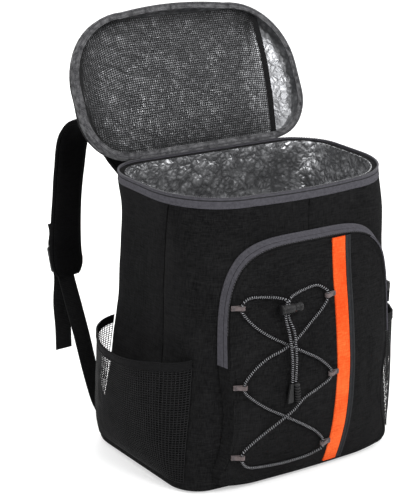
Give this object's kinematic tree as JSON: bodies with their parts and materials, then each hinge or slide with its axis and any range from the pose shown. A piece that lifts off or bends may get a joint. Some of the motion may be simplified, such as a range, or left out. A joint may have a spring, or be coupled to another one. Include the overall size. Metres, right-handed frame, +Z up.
{
  "type": "cooler backpack",
  "caption": "Padded cooler backpack with an open lid, foil lining, laced front pocket, mesh side pockets and padded shoulder straps.",
  "frame": {"origin": "centre of the underside of the base", "axes": "+Z up, -Y the front with the pocket, +X the right side as seen from the front"},
  "size_m": [0.3994, 0.3722, 0.517],
  "materials": {
    "body_fabric": "matt heathered woven fabric, near black",
    "foil": "crinkled silver foil film",
    "zip_tape": "grey woven zip tape",
    "mesh": "black open knitted mesh",
    "binding": "black ribbed elastic binding",
    "zip_slider": "black coated slider",
    "zip_pull": "black woven pull",
    "stripe": "orange woven fabric",
    "piping": "near black piping",
    "loop_webbing": "grey-brown folded webbing",
    "elastic_cord": "black braided elastic with a fine pale fleck",
    "black_plastic": "black moulded plastic, satin",
    "cord_end_plastic": "black ribbed soft plastic",
    "strap_pad": "black padded fabric with bound edges",
    "strap_webbing": "black ribbed webbing",
    "back_mesh": "black padded spacer fabric"
  },
  "bodies": {
    "root": {"body_shell": "body_fabric", "cabin_foil_liner": "foil", "rim_zip_tape": "zip_tape", "lid_shell": "body_fabric", "lid_foil_liner": "foil", "lid_zip_tape": "zip_tape", "lid_mesh_pocket": "mesh", "lid_pocket_binding": "binding", "lid_cloth_hinge": "zip_tape", "front_pocket": "body_fabric", "front_pocket_zip_tape": "zip_tape", "front_zip_slider": "zip_slider", "front_zip_pull": "zip_pull", "stripe": "stripe", "pocket_piping": "piping", "cord_loop_left_1": "loop_webbing", "cord_loop_left_2": "loop_webbing", "cord_loop_left_3": "loop_webbing", "cord_loop_right_1": "loop_webbing", "cord_loop_right_2": "loop_webbing", "cord_loop_right_3": "loop_webbing", "lacing_cord": "elastic_cord", "cord_tail_1": "elastic_cord", "cord_tail_2": "elastic_cord", "cord_lock": "black_plastic", "cord_lock_button": "black_plastic", "cord_end": "cord_end_plastic", "left_mesh_pocket": "mesh", "left_pocket_binding": "binding", "left_strap_pad": "strap_pad", "left_ladder_lock": "black_plastic", "left_lock_loop": "strap_webbing", "left_strap_webbing": "strap_webbing", "right_mesh_pocket": "mesh", "right_pocket_binding": "binding", "right_strap_pad": "strap_pad", "right_ladder_lock": "black_plastic", "right_lock_loop": "strap_webbing", "right_strap_webbing": "strap_webbing", "back_panel": "back_mesh"}
  },
  "joints": []
}
